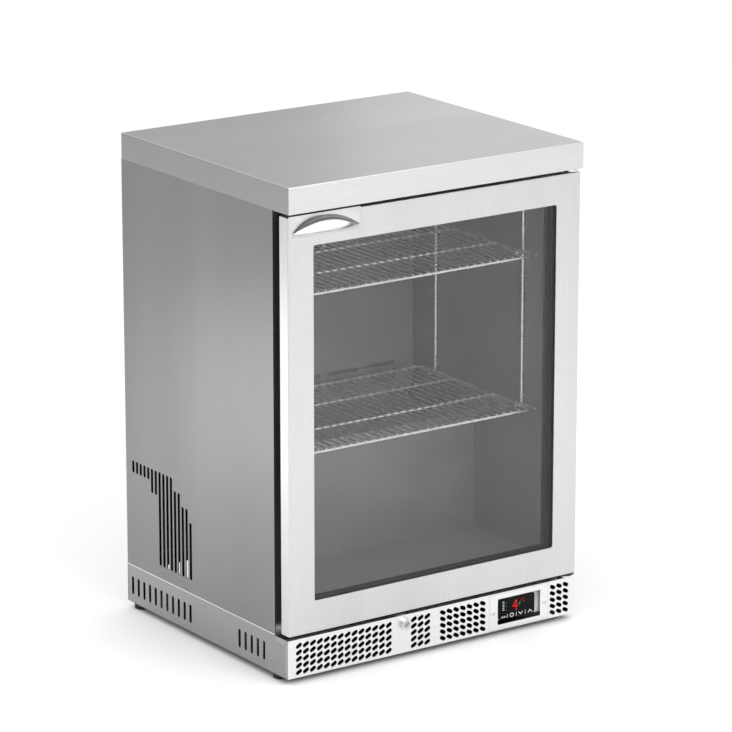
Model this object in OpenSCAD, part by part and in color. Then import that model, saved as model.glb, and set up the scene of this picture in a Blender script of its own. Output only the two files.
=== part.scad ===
// Under counter fridge: a glass-door bottle cooler with a stainless steel case.
// X runs left to right, Y runs front (-) to back (+), Z is height above the floor. Millimetres.

/* [Cabinet] */
// Overall width of the case
cabinet_w = 600; // [560:1:640]
// Depth of the worktop, front to back
cabinet_d = 510; // [490:1:530]
// Overall height, floor to top of the worktop
cabinet_h = 850; // [820:1:880]
// Height of the folded worktop edge
worktop_t = 45; // [40:1:50]
// Radius on the worktop and door edges
edge_r = 2; // [1:0.5:3]
// Thickness of the case sheet metal
sheet = 1.5; // [1.2:0.1:1.8]
// Visible height of the rubber feet
foot_h = 12; // [8:1:16]
// Height of the ventilated base
base_h = 67; // [64:1:70]
// Thickness of the side walls with their insulation
side_wall = 48; // [44:1:52]

/* [Door] */
// How far the door face sits behind the worktop edge
door_setback = 3; // [2:0.5:4]
// Depth of the door shell
door_t = 24; // [24:0.5:26]
// Gap between the door shell and the case, filled by the gasket
gasket_gap = 19.5; // [18:0.5:21]
// Gap between base and door
door_gap_bottom = 8; // [8:0.5:9]
// Gap between door and worktop
door_gap_top = 6; // [6:0.5:7]
// Width of the steel frame around the glass
frame_w = 50; // [48:1:52]
// Thickness of each pane
pane_t = 4; // [4:0.5:5]
// Gap between the panes
pane_gap = 8; // [7:0.5:9]
// Radius of the hinge pins
hinge_pin_r = 4; // [3.5:0.1:4.5]

/* [Handle] */
// Width of the curved pull
pull_w = 133; // [120:1:136]
// How far the pull stands out of its plate
pull_out = 16; // [13:0.5:17]
// Depth of the finger pocket behind the plate
pocket_d = 9; // [7:0.5:10]

/* [Base front] */
// Distance of the grille behind the worktop edge
grille_setback = 8; // [7:0.5:9]
// Column pitch of the air holes
hole_pitch_x = 14.05; // [13.8:0.05:14.3]
// Row pitch of the air holes
hole_pitch_z = 11.5; // [11:0.1:12]
// Length of an air hole
hole_l = 13; // [12:0.1:13.2]
// Width of an air hole
hole_w = 7; // [6:0.1:7.2]
// Tilt of the air holes
hole_tilt = 28; // [20:1:32]
// Sideways place of the lock
lock_x = -62; // [-64:0.5:-60]
// Middle of the controller window
window_x = 179; // [177:0.5:181]
// Width of the controller window
window_w = 91.5; // [88:0.5:93]
// Height of the controller window
window_h = 46.5; // [44:0.5:47]

/* [Shelves] */
// Height of the lower shelf
shelf_low_z = 380; // [370:1:390]
// Height of the upper shelf
shelf_high_z = 651; // [640:1:660]
// Spacing of the shelf wires
wire_pitch = 16; // [14:0.5:20]
// Radius of the shelf frame rods
rod_r = 2.5; // [2:0.1:3]
// Radius of the shelf wires
wire_r = 1.3; // [1.1:0.1:1.5]

/* [Hidden] */
$fn = 48;

// Clearances
seam = 0.35;
running = 0.05;
eps = 0.5;

// Main planes of the case
half_w = cabinet_w / 2;
front_y = -cabinet_d / 2;
back_y = cabinet_d / 2;
base_z = foot_h;
body_z = base_z + base_h;
top_z = cabinet_h - worktop_t;
inner_x = half_w - sheet;
inner_back = back_y - sheet;
grille_y = front_y + grille_setback;
flange = 11;

// Door
door_y = front_y + door_setback;
door_back_y = door_y + door_t;
body_y = door_back_y + gasket_gap;
door_x0 = -half_w + 0.5;
door_x1 = half_w - 4;
door_z0 = body_z + door_gap_bottom;
door_z1 = top_z - door_gap_top;
open_x0 = door_x0 + frame_w;
open_x1 = door_x1 - frame_w;
open_z0 = door_z0 + frame_w + 5;
open_z1 = door_z1 - frame_w - 1;
open_r = 4;
unit_lap = 10;
unit_y0 = door_y + sheet;
unit_y1 = unit_y0 + 2 * pane_t + pane_gap;
lip_y = door_back_y + 4;
hinge_x = half_w - 19;
hinge_y = door_y + 12;
bush_r = 7;
bush_l = 14;
cartridge_l = 68;

// Cavity, with the step that clears the compressor compartment
liner_t = 1.5;
cav_x = half_w - side_wall;
cav_z0 = body_z + 41;
cav_z1 = top_z - 37;
cav_back = back_y - 50;
step_y = -15;
step_z = 330;
frame_t = 2;
cav_front = body_y + frame_t;
room_y = 31.5;
room_z = 286.5;

// Handle: plate thickness, and the leaf-shaped pocket below and above its tips
plate_t = 0.5;
pocket_low = -5;
pocket_high = 23;
rim_rise = 18;

// Side air slots: count, foot and head of each run, from the back forwards
slot_w = 7.2;
vent_pitch = 12.14;
vent_y = 231;
vent_rise = 22;
vent_z = 104.5;
vent_top = 273.5;
vent_runs = [[5, vent_top - vent_rise, vent_top], [2, vent_top - 2 * vent_rise, vent_top],
    [4, vent_z, vent_top], [2, vent_z, vent_top - vent_rise],
    [2, vent_z, vent_top - 2 * vent_rise], [1, vent_z, vent_top - 3 * vent_rise]];
skirt_slot_z = [27, 60];
skirt_pitch = 18.6;
skirt_rear = [238, 11];
skirt_front = [-101, 5];

// Front grille: first column, number of columns and tilt of each group of holes
hole_groups = [[-278, 14, 1], [-43.5, 3, 1], [17, 7, -1], [251.4, 3, -1]];
hole_rows = 5;
hole_mid_z = base_z + 32.5;
bezel_x = [115.8, 241.8];
window_z = base_z + 32.8;
bezel_screw_x = [123.5, 234];
lock_z = base_z + 51;
lock_r = 10.2;
lock_out = 6;
cam_y = grille_y + 7.5;
cam_t = 2;
cam_l = 23.4;

// Shelves and racks
shelf_x = 244;
shelf_front = body_y + 5.5;
shelf_back = 130;
rack_x = cav_x - 5;
rack_y = [-158, 95];
peg_drop = 2 * rod_r + 0.3;

// Refrigeration
comp = [-140, 150, base_z + 18];
comp_r = 76;
comp_h = 170;
cond_x = 236;
cond_w = 36;
cond_y = [48, 238];
cond_z = [base_z + sheet, 226];
cond_fan = [0, 143, 120];
cond_rows = [cond_x + 9, cond_x + 27];
cond_pipe_x = cond_x + 20;
evap_fan = [0, 0, 665];
cover_y = 143;
pipe_r = 4;
gland = [-262, 0, 150];
gland_out = pull_out + plate_t - door_setback;

steel = [0.78, 0.79, 0.80];
dull = [0.62, 0.63, 0.64];
black = [0.06, 0.06, 0.07];
copper = [0.78, 0.45, 0.28];
chrome = [0.88, 0.89, 0.90];

// ---- shape helpers ----

// A block between two corners
module span(lo, hi) {
    translate(lo) cube(hi - lo);
}

// Extrusions along one axis; the outline is drawn in the other two, in X, Y, Z order
module along_x(from, to) {
    translate([from, 0, 0]) rotate([90, 0, 90]) linear_extrude(to - from) children();
}

module along_y(from, to) {
    translate([0, to, 0]) rotate([90, 0, 0]) linear_extrude(to - from) children();
}

module along_z(from, to) {
    translate([0, 0, from]) linear_extrude(to - from) children();
}

module rod_x(r, from, to, y, z) {
    translate([from, y, z]) rotate([0, 90, 0]) cylinder(h = to - from, r = r);
}

module rod_y(r, from, to, x, z) {
    translate([x, from, z]) rotate([-90, 0, 0]) cylinder(h = to - from, r = r);
}

module rod_z(r, from, to, x, y) {
    translate([x, y, from]) cylinder(h = to - from, r = r);
}

// A round rod between any two points
module rod(a, b, r) {
    d = b - a;
    translate(a) rotate([0, acos(d.z / norm(d)), atan2(d.y, d.x)]) cylinder(h = norm(d), r = r);
}

// A bent tube: straight runs with a slightly swollen brazed elbow at each corner
module bent_tube(points, r) {
    for (i = [0 : len(points) - 2]) rod(points[i], points[i + 1], r);
    for (i = [1 : len(points) - 2]) translate(points[i]) sphere(r = r + 0.8);
}

function arc_points(centre, r, start, sweep, steps) =
    [for (i = [0 : steps]) centre + r * [cos(start + i * sweep / steps),
        sin(start + i * sweep / steps)]];

function corner(centre, r, start) = r > 0 ? arc_points(centre, r, start, 90, 5) : [centre];

// Rectangle with its own radius at each corner: low-left, low-right, high-right, high-left
function rounded(lo, hi, r) = concat(
    corner([lo.x + r[0], lo.y + r[0]], r[0], 180),
    corner([hi.x - r[1], lo.y + r[1]], r[1], 270),
    corner([hi.x - r[2], hi.y - r[2]], r[2], 0),
    corner([lo.x + r[3], hi.y - r[3]], r[3], 90));

function all_round(r) = [r, r, r, r];

// Obround slot along its first axis
function obround(l, w) = concat(
    arc_points([(l - w) / 2, 0], w / 2, -90, 180, 8),
    arc_points([-(l - w) / 2, 0], w / 2, 90, 180, 8));

module rect_ring(lo, hi, inner_lo, inner_hi, r) {
    difference() {
        polygon(rounded(lo, hi, all_round(0)));
        polygon(rounded(inner_lo, inner_hi, all_round(r)));
    }
}

module pan_screw(r, head_r, head_h, length) {
    cylinder(h = head_h, r = head_r);
    translate([0, 0, -length]) cylinder(h = length, r = r);
}

// ---- case ----

module worktop() {
    color(steel) difference() {
        intersection() {
            along_z(top_z, cabinet_h)
                polygon(rounded([-half_w, front_y], [half_w, back_y], all_round(edge_r)));
            along_x(-half_w, half_w)
                polygon(rounded([front_y, top_z], [back_y, cabinet_h], [0, 0, edge_r, edge_r]));
            along_y(front_y, back_y)
                polygon(rounded([-half_w, top_z], [half_w, cabinet_h], [0, 0, edge_r, edge_r]));
        }
        span([-inner_x, front_y + sheet, top_z + sheet],
            [inner_x, back_y - sheet, cabinet_h - sheet]);
        span([-half_w + 20, front_y + 20, top_z - 1], [half_w - 20, back_y - 20, top_z + 2]);
    }
}

module worktop_core() {
    inset = sheet + 0.4;
    color("burlywood") span([-half_w + inset, front_y + inset, top_z + sheet],
        [half_w - inset, back_y - inset, cabinet_h - sheet]);
}

// The stepped fan of upright slots, cut through one side wall
module side_slots() {
    starts = [for (i = [0 : len(vent_runs) - 1])
        i == 0 ? 0 : [for (j = 0, n = 0; j <= i; n = n + vent_runs[j][0], j = j + 1) n][i]];
    for (i = [0 : len(vent_runs) - 1])
        for (k = [0 : vent_runs[i][0] - 1])
            translate([vent_y - (starts[i] + k) * vent_pitch,
                (vent_runs[i][1] + vent_runs[i][2]) / 2])
                rotate(90) polygon(obround(vent_runs[i][2] - vent_runs[i][1], slot_w));
}

module side_panel(side) {
    color(steel) along_x(side < 0 ? -half_w : inner_x, side < 0 ? -inner_x : half_w)
        difference() {
            polygon(rounded([body_y, body_z + seam], [inner_back, top_z], all_round(0)));
            side_slots();
        }
}

module side_panel_left() {
    side_panel(-1);
}

module side_panel_right() {
    side_panel(1);
}

module back_panel() {
    color(dull) span([-half_w, inner_back, room_z + seam], [half_w, back_y, top_z]);
}

rear_screws = [for (x = [-288, 0, 288], z = [body_z + 12, room_z - 12]) [x, z]];

module rear_cover() {
    rows = 9;
    louvre_x = [-70, 60, 190];
    louvre_l = 112;
    louvre_pitch = 17;
    color(dull) along_y(inner_back, back_y) difference() {
        polygon(rounded([-half_w, body_z + seam], [half_w, room_z], all_round(0)));
        for (x = louvre_x, i = [0 : rows - 1])
            translate([x, body_z + 40 + i * louvre_pitch]) polygon(obround(louvre_l, slot_w));
        for (p = rear_screws) translate(p) circle(r = 2.1);
        translate([gland.x, gland.z]) circle(r = 10.1);
    }
}

foot_r = 13;
foot_inset = 17;
foot_y = [-200, 236];
foot_at = [for (x = [-1, 1], y = foot_y) [x * (half_w - foot_inset), y]];

// Pan under the whole machine with an upstand along the back
module base_tray() {
    back_slots = 26;
    color(dull) difference() {
        union() {
            span([-inner_x, grille_y + flange + 0.4, base_z], [inner_x, inner_back, base_z + sheet]);
            along_y(inner_back, back_y) difference() {
                polygon(rounded([-half_w, base_z], [half_w, body_z], all_round(0)));
                for (i = [0 : back_slots - 1])
                    translate([(i - (back_slots - 1) / 2) * skirt_pitch, base_z + base_h / 2])
                        rotate(90) polygon(obround(33, slot_w));
            }
        }
        for (p = foot_at) rod_z(4.1, base_z - 1, base_z + 3, p.x, p.y);
    }
}

// Side of the base: its front end is mitred to the grille's folded return
module base_skirt(side) {
    y0 = grille_y + seam * 1.5;
    step_down = body_z - flange - seam;
    color(steel) along_x(side < 0 ? -half_w : inner_x, side < 0 ? -inner_x : half_w)
        difference() {
            polygon([[inner_back, base_z], [y0, base_z], [y0 + flange, base_z + flange],
                [y0 + flange, step_down], [body_y, step_down], [body_y, body_z],
                [inner_back, body_z]]);
            for (run = [skirt_rear, skirt_front], i = [0 : run[1] - 1])
                translate([run[0] - i * skirt_pitch, (skirt_slot_z[0] + skirt_slot_z[1]) / 2])
                    rotate(90) polygon(obround(skirt_slot_z[1] - skirt_slot_z[0], slot_w));
        }
}

module base_skirt_left() {
    base_skirt(-1);
}

module base_skirt_right() {
    base_skirt(1);
}

// Floor plate of the insulated body, with a folded ear at each front corner
module body_floor() {
    y0 = grille_y + seam * 1.5;
    color(steel) {
        difference() {
            span([-inner_x, grille_y + flange + 0.4, body_z - sheet],
                [inner_x, room_y, body_z]);
            span([lock_x - 22, grille_y, body_z - 3], [lock_x + 9, cam_y + cam_t + 2, body_z + 1]);
        }
        for (side = [-1, 1])
            along_x(side < 0 ? -half_w : inner_x, side < 0 ? -inner_x : half_w)
                polygon([[body_y - seam, body_z], [y0, body_z],
                    [y0 + flange, body_z - flange], [body_y - seam, body_z - flange]]);
    }
}

module air_holes() {
    for (g = hole_groups, i = [0 : g[1] - 1], j = [0 : hole_rows - 1])
        translate([g[0] + i * hole_pitch_x, hole_mid_z + (j - (hole_rows - 1) / 2) * hole_pitch_z])
            rotate(g[2] * hole_tilt) polygon(obround(hole_l, hole_w));
}

module front_grille() {
    color(steel) {
        along_y(grille_y, grille_y + sheet) difference() {
            polygon(rounded([-half_w, base_z], [half_w, body_z], all_round(0)));
            air_holes();
            translate([lock_x, lock_z]) circle(r = 8.1);
            polygon(rounded([bezel_x[0], base_z + sheet], [bezel_x[1], body_z - sheet],
                all_round(0)));
        }
        for (z = [base_z, body_z - sheet]) difference() {
            span([-inner_x, grille_y, z], [inner_x, grille_y + flange, z + sheet]);
            span([lock_x - 22, cam_y - 1, body_z - 3], [lock_x + 9, cam_y + cam_t + 1, body_z + 1]);
        }
        for (side = [-1, 1])
            along_x(side < 0 ? -half_w : inner_x, side < 0 ? -inner_x : half_w)
                polygon([[grille_y, base_z], [grille_y + flange, base_z + flange],
                    [grille_y + flange, body_z - flange], [grille_y, body_z]]);
    }
}

// Flush sub-panel that carries the controller
module controller_bezel() {
    z0 = base_z + sheet;
    z1 = body_z - sheet;
    window = [window_w, window_h] / 2;
    middle = [window_x, window_z];
    color(steel) along_y(grille_y, grille_y + sheet) difference() {
        polygon(rounded([bezel_x[0] + seam, z0 + seam], [bezel_x[1] - seam, z1 - seam],
            all_round(0)));
        polygon(rounded(middle - window, middle + window, all_round(1)));
        for (x = bezel_screw_x) translate([x, window_z - 1]) circle(r = 2.1);
    }
}

bracket_x = [136, 231];
bracket_y = grille_y + 7;
bracket_z = [base_z + 15, base_z + 57];

// Folded plate that holds the controller behind the window
module controller_bracket() {
    hole = [75, 35] / 2;
    middle = [window_x - 1.5, window_z + 1.4];
    color(dull) {
        along_y(bracket_y, bracket_y + sheet) difference() {
            polygon(rounded([bracket_x[0], bracket_z[0]], [bracket_x[1], bracket_z[1]],
                all_round(0)));
            polygon(rounded(middle - hole, middle + hole, all_round(0)));
        }
        span([bracket_x[0], grille_y + sheet, bracket_z[1]],
            [bracket_x[1], bracket_y + sheet, bracket_z[1] + sheet]);
    }
}

module controller_body() {
    half = [74, 34] / 2;
    middle = [window_x - 1.5, window_z + 1.4];
    color(black) {
        along_y(bracket_y, bracket_y + 56) polygon(rounded(middle - half, middle + half, all_round(2)));
        for (i = [0 : 3])
            span([middle.x - 30 + i * 16, bracket_y + 56, middle.y - 8],
                [middle.x - 20 + i * 16, bracket_y + 62, middle.y + 6]);
    }
}

module controller_facia() {
    half = [76.8, 36.4] / 2;
    middle = [window_x - 1.5, window_z + 1.4];
    color([0.02, 0.02, 0.03]) along_y(bracket_y - 2.6, bracket_y)
        polygon(rounded(middle - half, middle + half, all_round(4)));
}

module cabinet_screws() {
    color(chrome) {
        for (p = rear_screws) translate([p.x, back_y, p.y]) rotate([-90, 0, 0]) pan_screw(2, 4, 2.2, 8);
        for (x = bezel_screw_x)
            translate([x, grille_y, window_z - 1]) rotate([90, 0, 0]) pan_screw(2, 3.4, 1.6, 6);
        for (z = hinge_screw_z)
            translate([hinge_x + 4, body_y - 3, z]) rotate([90, 0, 0]) pan_screw(2.4, 4.4, 2.2, 4.9);
    }
}

module lock_barrel() {
    color(chrome) difference() {
        union() {
            rod_y(lock_r - 0.8, grille_y - lock_out, grille_y - lock_out + 1, lock_x, lock_z);
            rod_y(lock_r, grille_y - lock_out + 1, grille_y, lock_x, lock_z);
            rod_y(8, grille_y - eps, cam_y - 0.5, lock_x, lock_z);
        }
        rod_y(6.5, grille_y - lock_out - 1, cam_y, lock_x, lock_z);
    }
}

module lock_nut() {
    color(dull) difference() {
        translate([lock_x, grille_y + sheet, lock_z]) rotate([-90, 0, 0])
            cylinder(h = 3.5, r = 12.5, $fn = 6);
        rod_y(8.05, grille_y, cam_y, lock_x, lock_z);
    }
}

// Plug with its key slot, and the cam on its inner end; the cam lies flat when unlocked
module lock_core() {
    key_angle = 40;
    color(chrome) {
        difference() {
            rod_y(6.45, grille_y - lock_out - 0.4, cam_y, lock_x, lock_z);
            translate([lock_x, grille_y - lock_out, lock_z]) rotate([0, -key_angle, 0])
                cube([8.4, 8, 1.7], center = true);
        }
        along_y(cam_y, cam_y + cam_t) translate([lock_x, lock_z])
            polygon(concat(arc_points([0, 0], 6.5, -90, 180, 8),
                arc_points([-cam_l + 6, 0], 6, 90, 180, 6)));
        rod_y(3.5, cam_y + cam_t, cam_y + cam_t + 1.4, lock_x, lock_z);
    }
}

// ---- insulated body ----

module front_frame() {
    color(steel) along_y(body_y, cav_front) difference() {
        polygon(rounded([-inner_x + 0.1, body_z], [inner_x - 0.1, top_z], all_round(0)));
        polygon(rounded([-cav_x, cav_z0], [cav_x, cav_z1], all_round(3)));
        for (z = hinge_screw_z) translate([hinge_x + 4, z]) circle(r = 2.5);
    }
}

// Side outline of the cavity, grown by t
module cavity_outline(t) {
    polygon([[cav_front, cav_z0 - t], [step_y + t, cav_z0 - t], [step_y + t, step_z - t],
        [cav_back + t, step_z - t], [cav_back + t, cav_z1 + t], [cav_front, cav_z1 + t]]);
}

pipe_y = 225;
cond_pipe_y = [58.4, pipe_y];
pipe_up_x = [-30, 30];
pipe_up_z = [470, 486];
drain_at = [-100, 178];

module liner() {
    color([0.80, 0.81, 0.82]) difference() {
        along_x(-cav_x - liner_t, cav_x + liner_t) cavity_outline(liner_t);
        along_x(-cav_x, cav_x) cavity_outline(0);
        span([-cav_x, cav_front - 1, cav_z0], [cav_x, cav_front + 1, cav_z1]);
        for (i = [0, 1]) rod_y(6, cav_back - 1, cav_back + 3, pipe_up_x[i], pipe_up_z[i]);
        rod_z(8.2, step_z - 3, step_z + 1, drain_at.x, drain_at.y);
    }
}

module insulation() {
    chase = 8;
    color("khaki") difference() {
        span([-inner_x, cav_front, body_z], [inner_x, inner_back, top_z]);
        along_x(-cav_x - liner_t, cav_x + liner_t) cavity_outline(liner_t);
        span([-inner_x - 1, room_y, body_z - 1], [inner_x + 1, back_y, room_z]);
        for (x = pipe_up_x)
            span([x - chase, cav_back, room_z - 1], [x + chase, pipe_y + chase, pipe_up_z[1] + chase]);
        rod_z(8.2, room_z - 1, step_z, drain_at.x, drain_at.y);
    }
}

// Sheet that closes the compressor compartment off from the insulation
module compartment_wall() {
    color(dull) difference() {
        union() {
            span([-inner_x, room_y, base_z + sheet], [inner_x, room_y + sheet, room_z]);
            span([-inner_x, room_y, room_z - sheet], [inner_x, inner_back, room_z]);
        }
        for (x = pipe_up_x) rod_z(6, room_z - 3, room_z + 1, x, pipe_y);
        rod_z(8.2, room_z - 3, room_z + 1, drain_at.x, drain_at.y);
        for (x = [-230 : 20 : 230])
            span([x - 5, room_y - 1, base_z + 12], [x + 5, room_y + 3, body_z - 10]);
    }
}

cover_x = 232;
cover_z = [344, 756];

// Sheet cover of the evaporator, open at the top and bottom for the air
module evaporator_cover() {
    color(steel) difference() {
        union() {
            span([-cover_x, cover_y, cover_z[0]], [cover_x, cover_y + sheet, cover_z[1]]);
            for (side = [-1, 1])
                span([side < 0 ? -cover_x : cover_x - sheet, cover_y, cover_z[0]],
                    [side < 0 ? -cover_x + sheet : cover_x, cav_back, cover_z[1]]);
        }
        rod_y(58, cover_y - 1, cover_y + 3, evap_fan.x, evap_fan.z);
        for (x = [-160 : 80 : 160], z = [364 : 14 : 392])
            along_y(cover_y - 1, cover_y + 3) translate([x, z]) polygon(obround(64, slot_w));
        rod_y(3.1, cover_y - 1, cover_y + 3, 150, 700);
    }
}

module fan_guard() {
    guard_y = cover_y - 4;
    color(chrome) {
        for (r = [22, 38, 54])
            translate([evap_fan.x, guard_y, evap_fan.z]) rotate([90, 0, 0])
                rotate_extrude() translate([r, 0]) circle(r = 1.1, $fn = 16);
        for (a = [45 : 90 : 315])
            translate([evap_fan.x, guard_y, evap_fan.z]) rotate([0, a, 0]) {
                rod_z(1.3, 12, 66, 0, 0);
                rod_y(1.3, 0, 4, 0, 64);
            }
        rod_y(13, guard_y - 1.5, guard_y + 1.5, evap_fan.x, evap_fan.z);
    }
}

// A heat exchanger block: upright fins on straight tubes
module fins(x0, x1, pitch, y, z) {
    for (x = [x0 : pitch : x1]) span([x, y[0], z[0]], [x + 0.8, y[1], z[1]]);
}

evap_y = [152, 196];
evap_z = [404, 560];
evap_w = 168;

module evaporator_coil() {
    bottom = evap_z[0] + 18;
    color([0.75, 0.76, 0.78]) {
        fins(-evap_w, evap_w - 1, 16, evap_y, evap_z);
        for (y = [163, 185], i = [0 : 3])
            rod_x(4.5, -evap_w - 6, evap_w + 6, y, bottom + i * 39);
        for (s = [-1, 1], i = [0 : 3])
            rod_y(4.5, 158, 190, s * (evap_w + 8), bottom + i * 39);
        for (i = [0, 1]) span([pipe_up_x[i] - 7, evap_y[1] - 2, pipe_up_z[i] - 7],
            [pipe_up_x[i] + 7, cav_back - 4, pipe_up_z[i] + 7]);
    }
}

module evaporator_fan_motor() {
    color(black) difference() {
        union() {
            rod_y(26, 176, 202, evap_fan.x, evap_fan.z);
            rod_y(9, 172, 176.5, evap_fan.x, evap_fan.z);
            for (a = [90, 210, 330])
                translate([evap_fan.x, 0, evap_fan.z]) rotate([0, a, 0]) {
                    span([20, 178, -5], [70, 181, 5]);
                    rod_y(3.5, cover_y + sheet, 181, 66, 0);
                }
        }
        rod_y(2.5 + running, 171, 196, evap_fan.x, evap_fan.z);
    }
}

// Pitched flat blades on a hub, turning about Z, between 0 and depth
module fan_wheel(hub_r, tip_r, depth, shaft_l) {
    blade_w = 2 * PI * hub_r / 5 * 1.15;
    pitch = 32;
    cylinder(h = depth, r = hub_r);
    translate([0, 0, -shaft_l]) cylinder(h = shaft_l + 1, r = 2.5);
    for (i = [0 : 4]) rotate(i * 72) translate([hub_r - 2, 0, depth / 2]) rotate([pitch, 0, 0])
        translate([0, 0, -0.7]) linear_extrude(1.4)
            polygon(concat([[0, -blade_w / 2]],
                arc_points([tip_r - hub_r - 12, -blade_w * 0.35], 10, -90, 90, 5),
                arc_points([tip_r - hub_r - 12, blade_w * 0.35], 10, 0, 90, 5),
                [[0, blade_w / 2]]));
}

module evaporator_fan() {
    color(black) translate([evap_fan.x, 170, evap_fan.z]) rotate([90, 0, 0])
        fan_wheel(18, 54, 16, 24);
}

tray_z = step_z;

// Condensate tray under the evaporator, with the drain spout that passes the step
module evaporator_tray() {
    color(dull) difference() {
        union() {
            span([-190, 150, tray_z], [190, 200, tray_z + 14]);
            rod_z(8, 224, tray_z + 1, drain_at.x, drain_at.y);
        }
        span([-188.5, 151.5, tray_z + 1.5], [188.5, 198.5, tray_z + 15]);
        rod_z(6, 223, tray_z + 3, drain_at.x, drain_at.y);
    }
}

module led_lamp() {
    color("whitesmoke") {
        span([-200, -196, cav_z1 - 9], [200, -180, cav_z1]);
        for (side = [-1, 1]) span([side * 203 - 3, -197, cav_z1 - 11], [side * 203 + 3, -179, cav_z1]);
    }
}

module temperature_probe() {
    color(black) {
        rod_y(3, cover_y - 34, cover_y + 6, 150, 700);
        rod_y(5, cover_y - 2, cover_y, 150, 700);
    }
}

// ---- compressor compartment ----

grommet_at = [for (x = [-1, 1], y = [-1, 1]) [comp.x + x * 82, comp.y + y * 58]];

// Hermetic can on its foot plate, with the terminal cover and the tube stubs
module compressor_shell() {
    wall = 3;
    dome = 28;
    profile = concat([[0, 0]], arc_points([comp_r - dome, dome], dome, -90, 90, 6),
        arc_points([comp_r - dome, comp_h - dome], dome, 0, 90, 6), [[0, comp_h]]);
    hollow = [for (p = profile) [max(0, p.x - (p.x > 0 ? wall : 0)),
        wall + p.y * (comp_h - 2 * wall) / comp_h]];
    color(black) translate(comp) {
        difference() {
            union() {
                rotate_extrude() polygon(profile);
                translate([0, 0, comp_h / 2 - 3]) cylinder(h = 6, r = comp_r + 4);
                for (z = [62, 92]) rod_x(pipe_r + 1, comp_r - 6, 100, 0, z);
            }
            rotate_extrude() polygon(hollow);
            for (z = [62, 92]) rod_x(pipe_r - 1, comp_r - 8, 101, 0, z);
        }
        difference() {
            span([-96, -70, -3], [96, 70, 0]);
            for (p = grommet_at) rod_z(5, -4, 1, p.x - comp.x, p.y - comp.y);
        }
        span([-26, -comp_r - 34, 60], [26, -comp_r + 2, 112]);
    }
}

module compressor_motor() {
    color(dull) translate(comp) {
        rod_z(14, 3, 22.5, 0, 0);
        rod_z(52, 22, 96, 0, 0);
        rod_z(9, 96, 128, 0, 0);
        span([-34, -26, 110], [44, 26, 140]);
    }
}

module compressor_grommets() {
    color([0.1, 0.1, 0.1]) for (p = grommet_at) {
        rod_z(11, base_z + sheet, comp.z - 3, p.x, p.y);
        rod_z(4.9, comp.z - 3.5, comp.z + 2, p.x, p.y);
        rod_z(9, comp.z, comp.z + 4, p.x, p.y);
    }
}

tray_lo = [comp.x - 62, comp.y - 56, comp.z + comp_h];
tray_hi = [comp.x + 62, comp.y + 60, comp.z + comp_h + 22];

module evaporation_tray() {
    wall = 1.5;
    color([0.15, 0.15, 0.16]) difference() {
        span(tray_lo, tray_hi);
        span(tray_lo + [wall, wall, wall], tray_hi + [-wall, -wall, 1]);
    }
}

module condenser_coil() {
    color([0.70, 0.70, 0.72]) {
        for (y = [cond_y[0] : 10 : cond_y[1]])
            span([cond_x, y, cond_z[0]], [cond_x + cond_w, y + 0.8, cond_z[1]]);
        for (x = cond_rows, i = [0 : 4])
            rod_y(4.5, cond_y[0] - 6, cond_y[1] + 6, x, cond_z[0] + 18 + i * 43);
        for (y = [cond_y[0] - 8, cond_y[1] + 8 ], i = [0 : 4])
            rod_x(4.5, cond_rows[0] - 5, cond_rows[1] + 5, y, cond_z[0] + 18 + i * 43);
        for (y = cond_pipe_y) rod_z(pipe_r + 1, cond_z[1] - 20, cond_z[1] + 12, cond_pipe_x, y);
    }
}

module condenser_shroud() {
    strip = [cond_x - 38, cond_x - 35];
    ring = [cond_x - 22, cond_x - 4];
    color(dull) {
        difference() {
            union() {
                span([cond_x - 4, cond_y[0], cond_z[0]], [cond_x - 2, cond_y[1], cond_z[1]]);
                rod_x(79, ring[0], ring[1], cond_fan.y, cond_fan.z);
            }
            rod_x(76, ring[0] - 1, cond_x, cond_fan.y, cond_fan.z);
        }
        for (s = [-1, 1])
            span([strip[0], cond_fan.y - 9, cond_fan.z + s * 84 - 4],
                [cond_x - 4, cond_fan.y + 9, cond_fan.z + s * 84 + 4]);
        difference() {
            span([strip[0], cond_fan.y - 9, cond_fan.z - 84], [strip[1], cond_fan.y + 9, cond_fan.z + 84]);
            rod_x(7.1, strip[0] - 1, strip[1] + 1, cond_fan.y, cond_fan.z);
        }
    }
}

module condenser_fan_motor() {
    x1 = cond_x - 38;
    color(black) difference() {
        union() {
            rod_x(30, x1 - 50, x1, cond_fan.y, cond_fan.z);
            rod_x(7, x1 - eps, x1 + 8, cond_fan.y, cond_fan.z);
        }
        rod_x(2.5 + running, x1 - 30, x1 + 9, cond_fan.y, cond_fan.z);
    }
}

module condenser_fan() {
    color([0.2, 0.2, 0.22]) translate([cond_x - 24, cond_fan.y, cond_fan.z]) rotate([0, 90, 0])
        fan_wheel(20, 70, 16, 36);
}

drier_x = [60, 150];
run_z = 262;

module filter_drier() {
    color(copper) {
        rod_x(10, drier_x[0] + 8, drier_x[1] - 8, pipe_y, run_z);
        rod_x(6, drier_x[0], drier_x[1], pipe_y, run_z);
    }
}

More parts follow.
